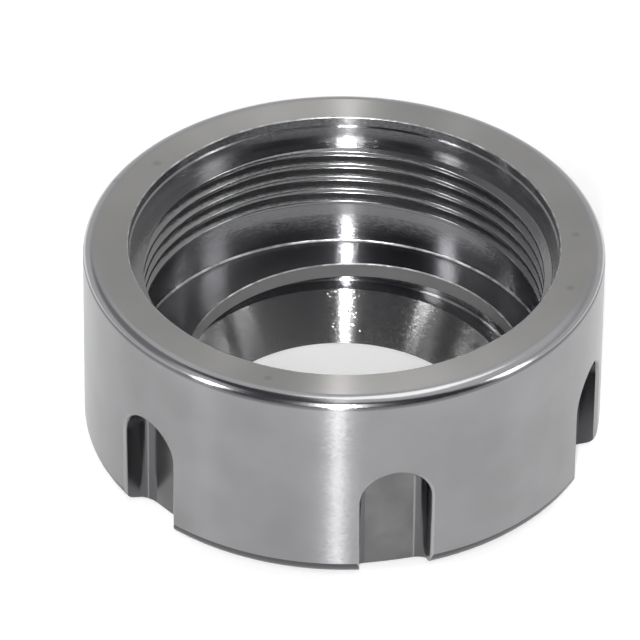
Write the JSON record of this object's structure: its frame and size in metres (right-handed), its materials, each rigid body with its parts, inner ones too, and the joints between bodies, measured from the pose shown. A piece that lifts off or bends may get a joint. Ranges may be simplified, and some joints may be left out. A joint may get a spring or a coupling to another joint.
{
  "type": "collet nut",
  "caption": "Round clamping nut for spring collets, with internal thread, off-centre extraction lip, closing cone and spanner slots round its lower edge.",
  "frame": {"origin": "centre of the nose face, the clamping end that the nut lies on", "axes": "+Z along the nut's axis towards the threaded mouth, -Y out through one spanner slot, +X the way the extraction lip's bore is offset"},
  "size_m": [0.05, 0.05, 0.0225],
  "materials": {
    "nut_steel": "ground outside, polished in the bore, satin slot floors"
  },
  "bodies": {
    "root": {"collet_nut": "nut_steel"}
  },
  "joints": []
}
